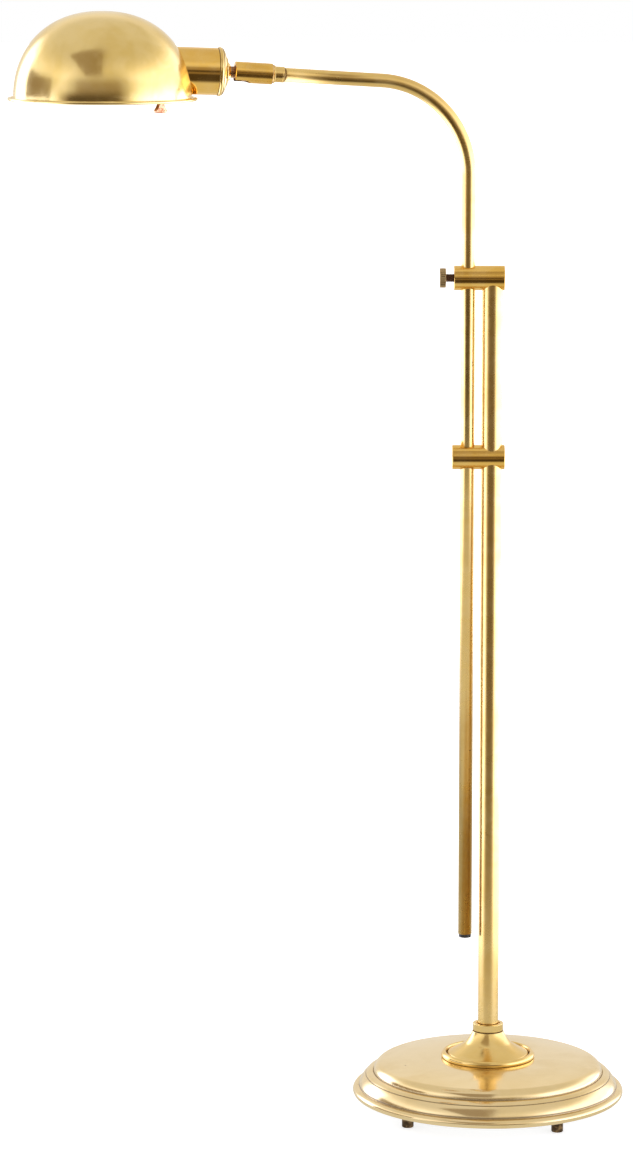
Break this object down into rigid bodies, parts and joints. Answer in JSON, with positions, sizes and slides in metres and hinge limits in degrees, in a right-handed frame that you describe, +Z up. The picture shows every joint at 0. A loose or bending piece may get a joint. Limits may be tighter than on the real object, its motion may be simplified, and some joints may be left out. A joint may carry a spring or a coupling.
{
  "type": "floor lamp",
  "caption": "Pharmacy floor lamp: weighted round base, fixed pole, clamped sliding pole bent into an arm, slotted ball swivel and a domed metal shade.",
  "frame": {"origin": "on the floor, at the foot of the fixed pole's axis, which is the base's centre", "axes": "+Z up along the fixed pole; the sliding pole stands beside it towards -X, and the arm carries the shade over -X, swung a little towards -Y at rest"},
  "size_m": [0.5652, 0.2671, 1.026],
  "materials": {
    "brass": "polished, unlacquered, with light tarnish",
    "dark_brass": "darkened",
    "aged_brass": "knurled and tarnished in the grooves",
    "copper_brown": "copper-brown lacquer, worn at the edges",
    "cast_iron": "as cast, painted black",
    "plated_steel": "zinc plated",
    "black_plastic": "matte",
    "phenolic": "moulded, semi-gloss",
    "fibre": "pressed fibre",
    "frosted_glass": "inside-frosted",
    "bare_aluminium": "rolled thread"
  },
  "bodies": {
    "stand": {"base_shell": "brass", "base_weight": "cast_iron", "base_plate": "plated_steel", "foot_front_left": "dark_brass", "foot_front_right": "dark_brass", "foot_rear_right": "dark_brass", "foot_rear_left": "dark_brass", "foot_studs": "plated_steel", "base_washer": "plated_steel", "base_nut": "plated_steel", "base_bell": "brass", "pole_collar": "brass", "pole_plug": "brass", "pole_nipple": "plated_steel", "fixed_pole": "brass", "upper_block": "brass", "lower_block": "brass", "upper_set_screw": "plated_steel", "lower_set_screw": "plated_steel"},
    "clamp_tip": {"clamp_pad": "black_plastic"},
    "clamp_knob": {"clamp_screw": "aged_brass"},
    "lift": {"pole_end_bush": "black_plastic"},
    "mast": {"sliding_pole": "brass", "arm_tube": "brass", "arm_collar": "brass", "swivel_washer": "brass", "arm_nipple": "brass"},
    "swivel": {"swivel_barrel": "brass", "ball_seat": "black_plastic", "swivel_spring": "plated_steel"},
    "neck": {"swivel_ball": "dark_brass"},
    "head": {"neck_washer": "brass", "cup_cap": "brass", "cup_lock_nut": "plated_steel", "cup": "brass", "shade": "brass", "shade_ring": "brass", "socket_cap": "brass", "socket_shell": "brass", "socket_liner": "fibre", "socket_body": "phenolic", "screw_shell": "bare_aluminium", "centre_contact": "brass", "bulb_base": "bare_aluminium", "bulb_tip": "phenolic", "bulb_glass": "frosted_glass"},
    "key": {"switch_shaft": "copper_brown", "switch_key": "copper_brown"}
  },
  "joints": [
    {"name": "height_slide", "type": "slide", "parent": "stand", "child": "lift", "axis": [0, 0, 1], "range_m": [-0.08, 0.43]},
    {"name": "mast_turn", "type": "hinge", "parent": "lift", "child": "mast", "pos_m": [-0.0222, 0, 0.7834], "axis": [0, 0, 1], "continuous": true},
    {"name": "barrel_turn", "type": "hinge", "parent": "mast", "child": "swivel", "pos_m": [-0.22597, -0.0341, 0.97094], "axis": [-0.9844, -0.1647, 0.061], "range_deg": [-170, 170]},
    {"name": "head_tilt", "type": "hinge", "parent": "swivel", "child": "neck", "pos_m": [-0.22597, -0.0341, 0.97094], "axis": [0.1704, -0.9798, 0.1043], "range_deg": [-6, 87]},
    {"name": "head_spin", "type": "hinge", "parent": "neck", "child": "head", "pos_m": [-0.22597, -0.0341, 0.97094], "axis": [-0.9857, -0.1649, 0.0349], "range_deg": [-170, 170]},
    {"name": "switch_turn", "type": "hinge", "parent": "head", "child": "key", "pos_m": [-0.3008, -0.0462, 0.95207], "axis": [-0.0376, 0.0132, -0.9992], "continuous": true},
    {"name": "clamp_advance", "type": "slide", "parent": "stand", "child": "clamp_tip", "axis": [-1, 0, 0], "range_m": [0, 0.00377]},
    {"name": "clamp_turn", "type": "hinge", "parent": "clamp_tip", "child": "clamp_knob", "pos_m": [-0.0354, 0, 0.7834], "axis": [-1, 0, 0], "range_deg": [0, 1080]}
  ],
  "couplings": [
    {"joint": "clamp_advance", "follows": "clamp_turn", "m_per_rad": 0.00019894}
  ]
}
